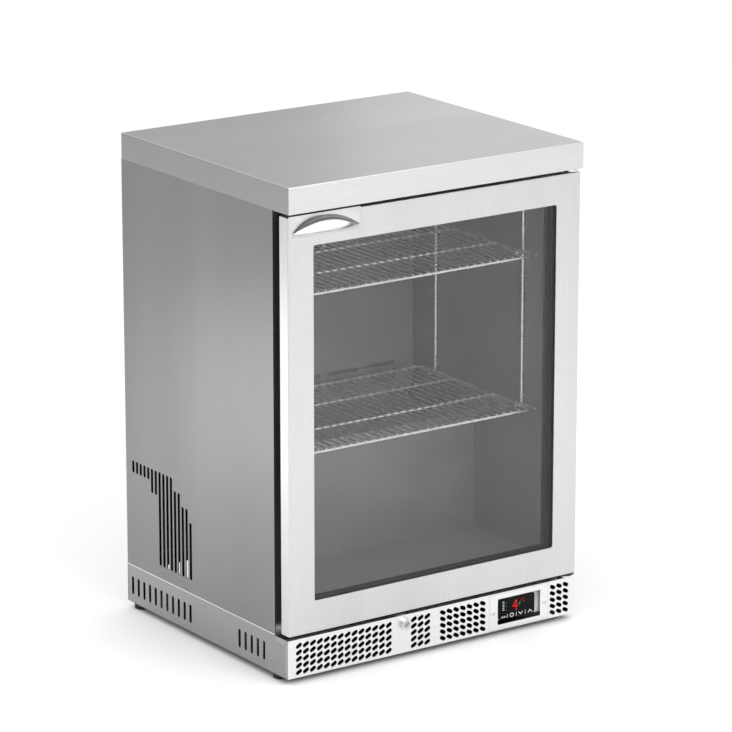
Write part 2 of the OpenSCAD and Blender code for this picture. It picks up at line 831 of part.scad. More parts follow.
module refrigerant_pipes() {
    coil_x = cond_pipe_x;
    coil_top = cond_z[1] + 12;
    stub_x = comp.x + 100;
    meet_y = cav_back - 4;
    color(copper) {
        bent_tube([[stub_x, comp.y, comp.z + 92], [20, comp.y, comp.z + 92], [20, comp.y, 250],
            [20, cond_pipe_y[0], 250], [coil_x, cond_pipe_y[0], 250],
            [coil_x, cond_pipe_y[0], coil_top]], pipe_r);
        bent_tube([[coil_x, cond_pipe_y[1], coil_top], [coil_x, cond_pipe_y[1], run_z],
            [drier_x[1], pipe_y, run_z]], pipe_r);
        bent_tube([[drier_x[0], pipe_y, run_z], [pipe_up_x[1], pipe_y, run_z],
            [pipe_up_x[1], pipe_y, pipe_up_z[1]], [pipe_up_x[1], meet_y, pipe_up_z[1]]], pipe_r);
        bent_tube([[stub_x, comp.y, comp.z + 62], [pipe_up_x[0], comp.y, comp.z + 62],
            [pipe_up_x[0], pipe_y, comp.z + 62], [pipe_up_x[0], pipe_y, pipe_up_z[0]],
            [pipe_up_x[0], meet_y, pipe_up_z[0]]], pipe_r);
    }
}

module junction_box() {
    lo = [-296, 186, 120];
    hi = [-238, 236, 190];
    color([0.2, 0.2, 0.21]) {
        span(lo, hi);
        span([lo.x, lo.y - 4, lo.z - 2], [hi.x, lo.y, hi.z + 2]);
    }
}

// Clamping gland of the supply cable; the cable itself is not part of the model
module cable_gland() {
    color(black) difference() {
        union() {
            rod_y(10, inner_back - 7, back_y + gland_out - 2, gland.x, gland.z);
            rod_y(8.5, back_y + gland_out - 2.5, back_y + gland_out, gland.x, gland.z);
            for (y = [inner_back - 5, back_y])
                translate([gland.x, y, gland.z]) rotate([-90, 0, 0]) cylinder(h = 5, r = 14, $fn = 6);
        }
        rod_y(4.1, inner_back - 8, back_y + gland_out + 1, gland.x, gland.z);
    }
}

// ---- shelves ----

// Two upright rods on a side wall, with wall studs and upturned pegs under each shelf
module shelf_rack(side) {
    z0 = shelf_low_z - 8;
    z1 = cav_z1 - 5;
    color(chrome) for (y = rack_y) {
        rod_z(rod_r, z0, z1, side * rack_x, y);
        for (z = [z0 + 20, shelf_high_z + 40])
            rod_x(rod_r - 0.5, side < 0 ? -cav_x : rack_x, side < 0 ? -rack_x : cav_x, y, z);
        for (s = [shelf_low_z, shelf_high_z]) {
            tip = rack_x - 13.5;
            rod_x(rod_r - 0.5, side < 0 ? -rack_x : tip, side < 0 ? -tip : rack_x, y, s - peg_drop + 0.5);
            rod_z(1.8, s - peg_drop + 0.5, s + 0.5, side * tip, y);
        }
    }
}

module shelf_rack_left() {
    shelf_rack(-1);
}

module shelf_rack_right() {
    shelf_rack(1);
}

module wire_shelf(z) {
    half_run = floor((shelf_x - 12) / wire_pitch) * wire_pitch;
    side_x = shelf_x - 4;
    color(chrome) {
        for (y = [shelf_front, shelf_back]) rod_x(rod_r, -side_x, side_x, y, z);
        for (s = [-1, 1]) {
            rod_y(rod_r, shelf_front, shelf_back, s * side_x, z);
            for (y = [shelf_front, shelf_back])
                translate([s * side_x, y, z]) sphere(r = rod_r + 0.3);
        }
        for (y = [-90, 30]) rod_x(rod_r - 0.4, -side_x, side_x, y, z);
        for (x = [-half_run : wire_pitch : half_run])
            rod_y(wire_r, shelf_front - 0.5, shelf_back + 0.5, x, z + rod_r + wire_r - 0.8);
    }
}

module shelf_upper() {
    wire_shelf(shelf_high_z);
}

module shelf_lower() {
    wire_shelf(shelf_low_z);
}

// ---- hinges ----

bracket_low = [body_z + 1, body_z + 4];
bracket_high = [top_z - 4.5, top_z - 1.5];
hinge_screw_z = [body_z + 20, body_z + 34, top_z - 34, top_z - 20];

module hinge_bracket(leaf, pin, leg) {
    color(chrome) {
        along_z(leaf[0], leaf[1])
            polygon(concat(arc_points([hinge_x + 3, hinge_y], 12, 180, 180, 10),
                [[hinge_x + 15, body_y], [hinge_x - 9, body_y]]));
        rod_z(hinge_pin_r, pin[0], pin[1], hinge_x, hinge_y);
        difference() {
            span([hinge_x - 7, body_y - 3, leg[0]], [hinge_x + 15, body_y, leg[1]]);
            for (z = hinge_screw_z) rod_y(2.45, body_y - 4, body_y + 1, hinge_x + 4, z);
        }
    }
}

module hinge_bracket_bottom() {
    hinge_bracket(bracket_low, [bracket_low[0], door_z0 + bush_l], [bracket_low[0], body_z + 42]);
}

module hinge_bracket_top() {
    hinge_bracket(bracket_high, [door_z1 - bush_l + 1, bracket_high[1]],
        [top_z - 42, bracket_high[1]]);
}

module rubber_feet() {
    color([0.08, 0.08, 0.08]) for (p = foot_at) {
        rod_z(foot_r, 0, foot_h - 3, p.x, p.y);
        rod_z(foot_r + 1.5, foot_h - 3, foot_h, p.x, p.y);
        rod_z(4, foot_h - 1, foot_h + 9, p.x, p.y);
    }
}

// ---- door ----

// Leaf outline of the pull: tips level, a shallow lower edge and a higher upper edge
tip_x = door_x0 + 75;
tip_z = door_z1 - 27;
function leaf(s, rise) = [tip_x + s * pull_w / 2, tip_z + rise * (1 - s * s)];
function leaf_outline(low, high, grow, steps = 20) = concat(
    [for (i = [0 : steps]) let (s = -1 + 2 * i / steps) leaf(s, low) + [grow * s, -grow]],
    [for (i = [steps : -1 : 0]) let (s = -1 + 2 * i / steps) leaf(s, high) + [grow * s, grow]]);

module door_frame() {
    color(steel) difference() {
        intersection() {
            along_z(door_z0, door_z1)
                polygon(rounded([door_x0, door_y], [door_x1, door_back_y], [edge_r, edge_r, 0, 0]));
            along_x(door_x0, door_x1)
                polygon(rounded([door_y, door_z0], [door_back_y, door_z1], [edge_r, 0, 0, edge_r]));
        }
        span([door_x0 + sheet, door_y + sheet, door_z0 + sheet],
            [door_x1 - sheet, door_back_y + 1, door_z1 - sheet]);
        along_y(door_y - 1, door_y + 3)
            polygon(rounded([open_x0, open_z0], [open_x1, open_z1], all_round(open_r)));
        along_y(door_y - 1, door_y + 3) polygon(leaf_outline(pocket_low - 1, pocket_high, 2.2));
        for (z = [door_z0 - 1, door_z1 - 3]) rod_z(bush_r + 0.1, z, z + 4, hinge_x, hinge_y);
    }
}

// Plastic frame that fills the shell, holds the glass unit and carries the gasket
module door_inner_frame() {
    side_in = 12.5;
    color(black) difference() {
        union() {
            span([door_x0 + sheet, door_y + sheet, door_z0 + sheet],
                [door_x1 - sheet, door_back_y, door_z1 - sheet]);
            span([door_x0 + side_in, door_back_y - 1, door_z0 + side_in - 4],
                [door_x1 - side_in, lip_y, door_z1 - side_in + 4]);
        }
        span([open_x0 - unit_lap - eps, door_y, open_z0 - unit_lap - eps],
            [open_x1 + unit_lap + eps, unit_y1, open_z1 + unit_lap + eps]);
        span([open_x0, door_y, open_z0], [open_x1, lip_y + 1, open_z1]);
        span([tip_x - pull_w / 2 - 4, door_y, tip_z - 10],
            [tip_x + pull_w / 2 + 4, door_y + pocket_d + 3, door_z1 - sheet + 1]);
        rod_z(bush_r + running, door_z0, door_z0 + bush_l + cartridge_l + 3, hinge_x, hinge_y);
        rod_z(bush_r + running, door_z1 - bush_l - 1, door_z1, hinge_x, hinge_y);
    }
}

// Bellows gasket: clip base, narrow bellows and magnet head
module door_gasket() {
    face_y = body_y - 0.3;
    mid = [[door_x0 + 34, door_z0 + 21], [door_x1 - 33.5, door_z1 - 18.5]];
    color([0.10, 0.10, 0.11]) for (band = [[lip_y, lip_y + 4, 9], [lip_y + 4, face_y - 5, 6],
            [face_y - 5, face_y, 8.5]])
        along_y(band[0], band[1]) rect_ring(mid[0] - [band[2], band[2]], mid[1] + [band[2], band[2]],
            mid[0] + [band[2], band[2]], mid[1] - [band[2], band[2]], 0);
}

module pane(y) {
    color([0.6, 0.7, 0.72, 0.4]) span([open_x0 - unit_lap, y, open_z0 - unit_lap],
        [open_x1 + unit_lap, y + pane_t, open_z1 + unit_lap]);
}

module glass_outer() {
    pane(unit_y0);
}

module glass_inner() {
    pane(unit_y1 - pane_t);
}

module glazing_spacer() {
    lap = unit_lap - 2;
    color(black) along_y(unit_y0 + pane_t, unit_y1 - pane_t)
        rect_ring([open_x0 - lap, open_z0 - lap], [open_x1 + lap, open_z1 + lap],
            [open_x0 + 0.5, open_z0 + 0.5], [open_x1 - 0.5, open_z1 - 0.5], 2);
}

// Point of the pull: s runs tip to tip, t from the lower edge to the rim
function pull_point(s, t, out, width, low, back) = let (c = 1 - s * s) [
    tip_x + s * width / 2,
    door_y - plate_t + back - out * c * sin(90 * t),
    tip_z + low * c + (rim_rise - low) * c * t];

module pull_lip() {
    n = 28;
    m = 8;
    reach = 0.985;
    outer = [for (i = [0 : n], j = [0 : m])
        pull_point(reach * (2 * i / n - 1), j / m, pull_out, pull_w, -7, 0)];
    inner = [for (i = [0 : n], j = [0 : m])
        pull_point(reach * (2 * i / n - 1), j / m, pull_out - 2, pull_w - 6, -4.2, 0.3)];
    count = (n + 1) * (m + 1);
    function at(i, j) = i * (m + 1) + j;
    skin = [for (i = [0 : n - 1], j = [0 : m - 1]) each [
        [at(i, j), at(i, j + 1), at(i + 1, j + 1)], [at(i, j), at(i + 1, j + 1), at(i + 1, j)]]];
    lining = [for (f = skin) [f[2] + count, f[1] + count, f[0] + count]];
    // Two triangles that join edge a-b of the outer skin to the same edge of the inner one
    function rim(a, b) = [[a, b, b + count], [a, b + count, a + count]];
    edges = [for (i = [0 : n - 1]) each
        concat(rim(at(i, 0), at(i + 1, 0)), rim(at(i + 1, m), at(i, m)))];
    ends = [for (j = [0 : m - 1]) each
        concat(rim(at(0, j + 1), at(0, j)), rim(at(n, j), at(n, j + 1)))];
    polyhedron(concat(outer, inner), concat(skin, lining, edges, ends));
}

// Plate with a scooped finger pocket and the curved pull in front of it
module door_handle() {
    plate_x = [door_x0 + 1, door_x0 + 142.5];
    plate_z = [door_z1 - 37, door_z1 + 3.5];
    color(chrome) {
        along_y(door_y - plate_t, door_y) difference() {
            polygon(rounded([plate_x[0], plate_z[0]], [plate_x[1], plate_z[1]], all_round(1)));
            polygon(leaf_outline(pocket_low, pocket_high, 0));
        }
        difference() {
            along_y(door_y, door_y + pocket_d) polygon(leaf_outline(pocket_low, pocket_high, 1.5));
            along_y(door_y - 1, door_y + pocket_d - 1.5)
                polygon(leaf_outline(pocket_low, pocket_high, 0));
        }
        pull_lip();
    }
}

// Tab under the door that the raised cam stands in front of
module lock_keeper() {
    back = cam_y + cam_t + 2;
    color(dull) {
        span([lock_x - 7.5, back, body_z + 1.5], [lock_x + 7.5, back + 2, door_z0]);
        span([lock_x - 7.5, back, door_z0 - 1.5], [lock_x + 7.5, back + 9, door_z0]);
    }
}

// Flanged bushes of the two pins; the lower one has a block that closes the end of the gap
module hinge_bushes() {
    flange_r = bush_r + 3;
    flange_z = bracket_low[1] + 0.3;
    color(black) {
        difference() {
            union() {
                rod_z(bush_r, door_z0 - eps, door_z0 + bush_l + 1, hinge_x, hinge_y);
                rod_z(flange_r, flange_z, door_z0, hinge_x, hinge_y);
                span([hinge_x, hinge_y - flange_r, flange_z], [door_x1 - 1, hinge_y + flange_r, door_z0]);
            }
            rod_z(hinge_pin_r + running, body_z, door_z0 + bush_l + 2, hinge_x, hinge_y);
        }
        difference() {
            union() {
                rod_z(bush_r, door_z1 - bush_l, door_z1 + eps, hinge_x, hinge_y);
                rod_z(flange_r, door_z1, bracket_high[0] - 0.3, hinge_x, hinge_y);
            }
            rod_z(hinge_pin_r + running, door_z1 - bush_l - 1, top_z, hinge_x, hinge_y);
        }
    }
}

// Torsion spring cartridge above the lower bush
module closer_cartridge() {
    z0 = door_z0 + bush_l + 1.5;
    color(dull) {
        rod_z(bush_r, z0, z0 + cartridge_l, hinge_x, hinge_y);
    }
}

worktop();
worktop_core();
side_panel_left();
side_panel_right();
back_panel();
rear_cover();
base_tray();
base_skirt_left();
base_skirt_right();
body_floor();
front_grille();
controller_bezel();
cabinet_screws();
controller_bracket();
controller_body();
controller_facia();
lock_barrel();
lock_nut();
front_frame();
liner();
insulation();
compartment_wall();
evaporator_cover();
fan_guard();
evaporator_coil();
evaporator_fan_motor();
evaporator_tray();
compressor_shell();
compressor_motor();
compressor_grommets();
evaporation_tray();
condenser_coil();
condenser_shroud();
condenser_fan_motor();
filter_drier();
refrigerant_pipes();
junction_box();
cable_gland();
shelf_rack_left();
shelf_rack_right();
hinge_bracket_bottom();
hinge_bracket_top();
rubber_feet();
led_lamp();
temperature_probe();
door_frame();
door_inner_frame();
door_gasket();
glass_outer();
glass_inner();
glazing_spacer();
door_handle();
lock_keeper();
hinge_bushes();
closer_cartridge();
lock_core();
shelf_upper();
shelf_lower();
evaporator_fan();
condenser_fan();
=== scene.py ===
"""Looks of the under counter fridge: materials, the soft and small detail, the studio and the camera."""

import math

import bmesh
import bpy
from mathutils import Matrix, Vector


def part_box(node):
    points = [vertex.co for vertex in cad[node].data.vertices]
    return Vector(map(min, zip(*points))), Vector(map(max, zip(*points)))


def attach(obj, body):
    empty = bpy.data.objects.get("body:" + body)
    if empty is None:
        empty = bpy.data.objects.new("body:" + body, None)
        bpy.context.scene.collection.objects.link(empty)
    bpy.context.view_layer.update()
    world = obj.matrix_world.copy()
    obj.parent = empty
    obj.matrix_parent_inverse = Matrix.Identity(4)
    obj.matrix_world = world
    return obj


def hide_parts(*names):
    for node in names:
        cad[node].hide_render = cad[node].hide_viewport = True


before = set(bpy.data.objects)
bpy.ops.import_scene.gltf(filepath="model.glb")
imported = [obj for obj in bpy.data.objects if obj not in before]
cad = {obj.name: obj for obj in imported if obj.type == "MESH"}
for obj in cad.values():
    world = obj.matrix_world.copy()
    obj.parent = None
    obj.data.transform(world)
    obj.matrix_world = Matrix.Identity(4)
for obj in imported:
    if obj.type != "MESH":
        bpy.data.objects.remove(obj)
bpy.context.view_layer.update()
MM = 0.001

CAMERA_PLACE = Vector((-3.8946, -5.6083, 2.3540))
CAMERA_YAW = 34.988
CAMERA_PITCH = 15.596
CAMERA_LENS = 202.99
COATED_GLASS = 0.020  # share that each face of a coated pane mirrors, seen square on


# ---- material nodes ----


class Shader:
    """A Principled material whose colour, roughness and bump come from noise in the shared frame."""

    def __init__(self, name, **sockets):
        self.material = bpy.data.materials.new(name)
        self.material.use_nodes = True
        self.tree = self.material.node_tree
        self.shader = self.tree.nodes["Principled BSDF"]
        for socket, value in sockets.items():
            label = socket.replace("_", " ").title().replace("Ior", "IOR")
            self.shader.inputs[label].default_value = value
        self.heights = []

    def node(self, kind, **values):
        made = self.tree.nodes.new(kind)
        for key, value in values.items():
            setattr(made, key, value)
        return made

    def link(self, source, target):
        self.tree.links.new(source, target)

    def place(self, scale):
        """Coordinates in the shared frame, times scale in repeats per metre."""
        mapping = self.node("ShaderNodeMapping")
        mapping.inputs["Scale"].default_value = scale
        self.link(self.node("ShaderNodeTexCoord").outputs["Object"], mapping.inputs["Vector"])
        return mapping.outputs["Vector"]

    def noise(self, scale, detail=4.0, rough=0.55):
        made = self.node("ShaderNodeTexNoise")
        made.inputs["Scale"].default_value = 1.0
        made.inputs["Detail"].default_value = detail
        made.inputs["Roughness"].default_value = rough
        self.link(self.place(scale), made.inputs["Vector"])
        return made.outputs["Fac"]

    def voronoi(self, scale):
        made = self.node("ShaderNodeTexVoronoi")
        made.inputs["Scale"].default_value = 1.0
        self.link(self.place(scale), made.inputs["Vector"])
        return made.outputs["Distance"]

    def ramp(self, factor, stops):
        made = self.node("ShaderNodeValToRGB")
        elements = made.color_ramp.elements
        while len(elements) < len(stops):
            elements.new(0.5)
        for element, (position, colour) in zip(elements, stops):
            element.position = position
            element.color = (*colour, 1.0)
        self.link(factor, made.inputs["Fac"])
        return made.outputs["Color"]

    def colour(self, factor, stops):
        self.link(self.ramp(factor, stops), self.shader.inputs["Base Color"])

    def roughness(self, factor, low, high):
        made = self.node("ShaderNodeMapRange")
        made.inputs["From Min"].default_value = 0.25
        made.inputs["From Max"].default_value = 0.75
        made.inputs["To Min"].default_value = low
        made.inputs["To Max"].default_value = high
        self.link(factor, made.inputs["Value"])
        self.link(made.outputs["Result"], self.shader.inputs["Roughness"])

    def mix(self, a, b, share=0.5):
        made = self.node("ShaderNodeMix", data_type="FLOAT")
        made.inputs["Factor"].default_value = share
        self.link(a, made.inputs[2])
        self.link(b, made.inputs[3])
        return made.outputs[0]

    def band(self, height, half):
        """1 within half of a height above the floor, 0 elsewhere."""
        split = self.node("ShaderNodeSeparateXYZ")
        self.link(self.node("ShaderNodeTexCoord").outputs["Object"], split.inputs["Vector"])
        made = self.node("ShaderNodeMath", operation="COMPARE")
        made.inputs[1].default_value = height
        made.inputs[2].default_value = half
        self.link(split.outputs["Z"], made.inputs[0])
        return made.outputs["Value"]

    def lighten(self, colour, share, lighter):
        made = self.node("ShaderNodeMix", data_type="RGBA")
        self.link(share, made.inputs[0])
        self.link(colour, made.inputs[6])
        made.inputs[7].default_value = (*lighter, 1.0)
        return made.outputs[2]

    def bump(self, height, strength, depth):
        made = self.node("ShaderNodeBump")
        made.inputs["Strength"].default_value = strength
        made.inputs["Distance"].default_value = depth
        self.link(height, made.inputs["Height"])
        if self.heights:
            self.link(self.heights[-1].outputs["Normal"], made.inputs["Normal"])
        self.heights.append(made)
        self.link(made.outputs["Normal"], self.shader.inputs["Normal"])


def grey(value, warmth=0.0):
    return (value * (1 + warmth), value, value * (1 - warmth))


def stretched(axis, along, across):
    """Noise scale of a grain that runs along one axis."""
    return tuple(along if i == axis else across for i in range(3))


def grained_steel(name, axis, tone=0.60, rough=(0.30, 0.38), edge=None):
    """Stainless sheet with a fine directional grain, faint rolling bands and handling marks.

    edge is the height of a painted highlight line, a thin band a little brighter than the sheet."""
    made = Shader(name, metallic=1.0)
    grain = made.noise(stretched(axis, 14, 1500), detail=3)
    speckle = made.noise((420, 420, 420), detail=2)
    bands = made.noise(stretched(axis, 0.8, 9), detail=2)
    marks = made.noise((3.5, 3.5, 3.5), detail=6)
    fine = made.mix(grain, speckle, 0.5)
    sheen = made.ramp(
        made.mix(fine, bands, 0.3),
        [(0.38, grey(tone * 0.91)), (0.50, grey(tone)), (0.63, grey(tone * 1.08))],
    )
    if edge:
        # painted highlight: a 0.9 mm band at that height mixed to grey 0.75
        sheen = made.lighten(sheen, made.band(edge, 0.9 * MM), grey(0.75))
    made.link(sheen, made.shader.inputs["Base Color"])
    made.roughness(made.mix(grain, marks, 0.45), *rough)
    made.bump(grain, 0.05, 0.00012)
    return made.material


def zinc_sheet(name, tone):
    """Galvanised sheet with its patchy crystal pattern."""
    made = Shader(name, metallic=1.0)
    spangle = made.voronoi((90, 90, 90))
    cloud = made.noise((25, 25, 25))
    made.colour(
        made.mix(spangle, cloud, 0.6),
        [(0.2, grey(tone * 0.86)), (0.5, grey(tone)), (0.8, grey(tone * 1.1))],
    )
    made.roughness(cloud, 0.36, 0.52)
    made.bump(spangle, 0.05, 0.0002)
    return made.material


def liner_sheet(name, tone):
    """Smooth coated aluminium sheet of the cavity, very slightly uneven."""
    made = Shader(name, metallic=0.4)
    uneven = made.noise((26, 26, 26), detail=2)
    cloud = made.noise((12, 12, 12))
    made.colour(cloud, [(0.3, grey(tone * 0.9)), (0.7, grey(tone * 1.08))])
    made.roughness(cloud, 0.40, 0.50)
    made.bump(uneven, 0.04, 0.0005)
    return made.material


def bright_metal(name, tone, rough, warmth=0.0):
    """Polished metal or metal plating, with fine polishing haze and a few dull spots."""
    made = Shader(name, metallic=1.0)
    haze = made.noise((60, 60, 60), detail=6)
    scratch = made.noise((40, 900, 300), detail=2)
    made.colour(haze, [(0.3, grey(tone * 0.95, warmth)), (0.7, grey(tone, warmth))])
    made.roughness(made.mix(haze, scratch), rough * 0.7, rough * 1.5)
    made.bump(scratch, 0.02, 0.0001)
    return made.material


def metal_with_painted_reflection(name):
    """Polished pull with a painted reflection: its colour runs from bright along its left to dark into
    its lower right end, standing in for darker surroundings mirrored there.
    """
    x, z = pull_tips()
    across, down = 15, -32
    made = Shader(name, metallic=1.0)
    painted_reflection_slope = made.node("ShaderNodeVectorMath", operation="DOT_PRODUCT")
    made.link(made.place((1, 1, 1)), painted_reflection_slope.inputs[0])
    painted_reflection_slope.inputs[1].default_value = (across, 0, down)
    along = made.node("ShaderNodeMath", operation="SUBTRACT")
    along.inputs[1].default_value = across * x + down * (z - PULL_DROP)
    made.link(painted_reflection_slope.outputs["Value"], along.inputs[0])
    # painted reflection: grey 0.93 on the left fading to grey 0.16 towards the lower right end
    made.colour(along.outputs["Value"], [(0.06, grey(0.93)), (0.40, grey(0.16))])
    haze = made.noise((60, 60, 60), detail=6)
    scratch = made.noise((40, 900, 300), detail=2)
    made.roughness(made.mix(haze, scratch), 0.12, 0.24)
    made.bump(scratch, 0.02, 0.0001)
    return made.material


def moulded(name, colour, rough=0.5, texture=900):
    """Moulded plastic or rubber with a fine spark-eroded texture."""
    made = Shader(name, specular_ior_level=0.4)
    grainy = made.noise((texture, texture, texture), detail=2)
    dust = made.noise((18, 18, 30), detail=5)
    made.colour(
        dust,
        [(0.35, colour), (0.72, tuple(min(1.0, c * 1.35 + 0.006) for c in colour))],
    )
    made.roughness(made.mix(grainy, dust), rough - 0.08, rough + 0.10)
    made.bump(grainy, 0.18, 0.00012)
    return made.material


def coated(name, colour, rough=0.35):
    """Stove paint with slight orange peel."""
    made = Shader(name, coat_weight=0.3)
    peel = made.noise((260, 260, 260), detail=2)
    dust = made.noise((14, 14, 14), detail=5)
    made.colour(dust, [(0.3, colour), (0.75, tuple(c * 1.5 + 0.01 for c in colour))])
    made.roughness(dust, rough, rough + 0.15)
    made.bump(peel, 0.12, 0.0002)
    return made.material


def touch_lens(name):
    """Black anti-glare panel of the controller, with finger smears."""
    made = Shader(name, specular_ior_level=0.08)
    smears = made.noise((30, 30, 70), detail=6)
    made.colour(smears, [(0.35, (0.003, 0.003, 0.0035)), (0.75, (0.008, 0.008, 0.009))])
    made.roughness(smears, 0.12, 0.30)
    return made.material


def clear_glass(name):
    """Thin clear pane that mirrors more at a glance, as glass does, with a trace of haze."""
    made = Shader(name)
    made.tree.nodes.remove(made.shader)
    out = made.tree.nodes["Material Output"]
    through = made.node("ShaderNodeBsdfTransparent")
    smear = made.noise((5, 5, 9), detail=6)
    made.link(
        made.ramp(smear, [(0.35, (0.970, 0.971, 0.969)), (0.75, (0.951, 0.954, 0.951))]),
        through.inputs["Color"],
    )
    mirror = made.node("ShaderNodeBsdfGlossy")
    mirror.inputs["Color"].default_value = (1, 1, 1, 1)
    mirror.inputs["Roughness"].default_value = 0.02
    facing = made.node("ShaderNodeLayerWeight")
    steep = made.node("ShaderNodeMath", operation="POWER")
    steep.inputs[1].default_value = 5.0
    made.link(facing.outputs["Facing"], steep.inputs[0])
    fresnel = made.node("ShaderNodeMath", operation="MULTIPLY_ADD")
    fresnel.inputs[1].default_value = COATED_GLASS * 24
    fresnel.inputs[2].default_value = COATED_GLASS
    made.link(steep.outputs["Value"], fresnel.inputs[0])
    blend = made.node("ShaderNodeMixShader")
    made.link(fresnel.outputs["Value"], blend.inputs["Fac"])
    made.link(through.outputs["BSDF"], blend.inputs[1])
    made.link(mirror.outputs["BSDF"], blend.inputs[2])
    made.link(blend.outputs["Shader"], out.inputs["Surface"])
    return made.material


def glowing(name, colour, strength):
    """A lit mark, or a printed mark given a painted glow: plain colour with a soft light of its own."""
    made = Shader(name, emission_strength=strength, roughness=0.4, specular_ior_level=0.1)
    pattern = made.noise((900, 900, 900), detail=1)
    made.colour(pattern, [(0.3, tuple(c * 0.3 for c in colour)), (0.7, tuple(c * 0.4 for c in colour))])
    made.shader.inputs["Emission Color"].default_value = (*colour, 1.0)
    return made.material


def raw_board(name):
    made = Shader(name)
    chips = made.voronoi((160, 40, 160))
    cloud = made.noise((30, 30, 30))
    made.colour(
        made.mix(chips, cloud),
        [(0.2, (0.30, 0.19, 0.10)), (0.6, (0.52, 0.37, 0.21)), (0.8, (0.66, 0.50, 0.31))],
    )
    made.roughness(cloud, 0.7, 0.85)
    made.bump(chips, 0.3, 0.0005)
    return made.material


def rigid_foam(name):
    made = Shader(name)
    cells = made.voronoi((420, 420, 420))
    cloud = made.noise((9, 9, 9))
    made.colour(cloud, [(0.3, (0.62, 0.50, 0.24)), (0.7, (0.76, 0.66, 0.40))])
    made.roughness(cloud, 0.8, 0.9)
    made.bump(cells, 0.4, 0.0006)
    return made.material


# ---- shapes ----


def piece(name, mesh, material, body, stands_for=()):
    """Puts a mesh into the scene, riding on a CAD body."""
    obj = bpy.data.objects.new(name, mesh)
    bpy.context.scene.collection.objects.link(obj)
    mesh.materials.append(material)
    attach(obj, body)
    if stands_for:
        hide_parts(*stands_for)
    return obj


def mesh_from(bm, name, smooth=True):
    bmesh.ops.recalc_face_normals(bm, faces=bm.faces)
    mesh = bpy.data.meshes.new(name)
    bm.to_mesh(mesh)
    bm.free()
    if smooth:
        mesh.shade_smooth()
        mesh.set_sharp_from_angle(angle=math.radians(38))
    return mesh


def add_bevel(obj, width):
    bevel = obj.modifiers.new("edges", "BEVEL")
    bevel.width = width
    bevel.segments = 2
    bevel.limit_method = "ANGLE"
    bevel.angle_limit = math.radians(35)
    bevel.harden_normals = True


def add_wall(obj, thickness):
    """Gives an open sheet a real thickness, all of it behind its face."""
    wall = obj.modifiers.new("wall", "SOLIDIFY")
    wall.thickness = thickness
    wall.offset = -1
    return wall


def paint_faces_light_or_shade(name, finish_or_painted_tone, chosen):
    """Gives the chosen faces of a CAD node a lighter or darker copy of a material, which paints light or
    shade on them.
    """
    mesh = cad[name].data
    mesh.materials.append(finish_or_painted_tone)
    for face in mesh.polygons:
        if chosen(face):
            face.material_index = len(mesh.materials) - 1


def curve_mesh(name, splines, thickness, bevel, place):
    """A flat plate cut along closed outlines, the later ones holes; place maps it to the frame."""
    curve = bpy.data.curves.new(name, "CURVE")
    curve.dimensions = "2D"
    curve.fill_mode = "BOTH"
    curve.extrude = thickness / 2 - bevel
    curve.bevel_depth = bevel
    curve.bevel_resolution = 2
    curve.offset = -bevel
    for points in splines:
        spline = curve.splines.new("POLY")
        spline.points.add(len(points) - 1)
        for p, (u, v) in zip(spline.points, points):
            p.co = (u, v, 0, 1)
        spline.use_cyclic_u = True
    holder = bpy.data.objects.new(name, curve)
    bpy.context.scene.collection.objects.link(holder)
    bpy.context.view_layer.update()
    mesh = bpy.data.meshes.new_from_object(holder.evaluated_get(bpy.context.evaluated_depsgraph_get()))
    bpy.data.objects.remove(holder)
    bpy.data.curves.remove(curve)
    for v in mesh.vertices:
        v.co = place(v.co)
    bm = bmesh.new()
    bm.from_mesh(mesh)
    bmesh.ops.remove_doubles(bm, verts=bm.verts, dist=1e-6)
    bpy.data.meshes.remove(mesh)
    return mesh_from(bm, name)


def arc(centre, radius, start, sweep, steps):
    return [
        (
            centre[0] + radius * math.cos(math.radians(start + sweep * i / steps)),
            centre[1] + radius * math.sin(math.radians(start + sweep * i / steps)),
        )
        for i in range(steps + 1)
    ]


def rounded(lo, hi, r, steps=6):
    return (
        arc((lo[0] + r, lo[1] + r), r, 180, 90, steps)
        + arc((hi[0] - r, lo[1] + r), r, 270, 90, steps)
        + arc((hi[0] - r, hi[1] - r), r, 0, 90, steps)
        + arc((lo[0] + r, hi[1] - r), r, 90, 90, steps)
    )


def grid(bm, points, columns, rows):
    """Faces over a columns by rows grid of vertices."""
    verts = [bm.verts.new(p) for p in points]
    for i in range(columns - 1):
        for j in range(rows - 1):
            k = i * rows + j
            bm.faces.new((verts[k], verts[k + rows], verts[k + rows + 1], verts[k + 1]))
    return verts


# ---- handle ----


PULL_HALF = 66.5 * MM  # from the middle of the pocket to either tip
PULL_LOW, PULL_HIGH = -5 * MM, 23 * MM  # how far the pocket's two arcs rise above the tips
PULL_RIM = 18 * MM  # how far the shell's rim does
PULL_DROP = 7 * MM  # how far the shell hangs below them
PULL_PLATE = 0.5 * MM


def pull_tips():
    """X of the pocket's middle and Z of its two tips."""
    lo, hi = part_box("door_handle")
    return lo.x + 74 * MM, hi.z - 30.5 * MM


def leaf_point(s, rise):
    """A point on an arc between the tips, s running from -1 to 1."""
    x, z = pull_tips()
    return x + s * PULL_HALF, z + rise * (1 - s * s)


def pull_plate(door_metal):
    """The thin plate that the pull is pressed into, with its leaf-shaped opening."""
    lo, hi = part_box("door_handle")
    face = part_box("door_frame")[0].y
    steps, grow = 40, 0.6 * MM
    under = [leaf_point(2 * i / steps - 1, PULL_LOW - grow) for i in range(steps + 1)]
    over = [leaf_point(1 - 2 * i / steps, PULL_HIGH + grow) for i in range(1, steps)]
    plate = curve_mesh(
        "pull_plate",
        [rounded((lo.x, lo.z), (hi.x, hi.z - 1.2 * MM), 1 * MM), (under + over)[::-1]],
        PULL_PLATE,
        0.1 * MM,
        lambda p: Vector((p.x, face - PULL_PLATE / 2 + p.z, p.y)),
    )
    piece("pull_plate", plate, door_metal, "door", ["door_handle"])


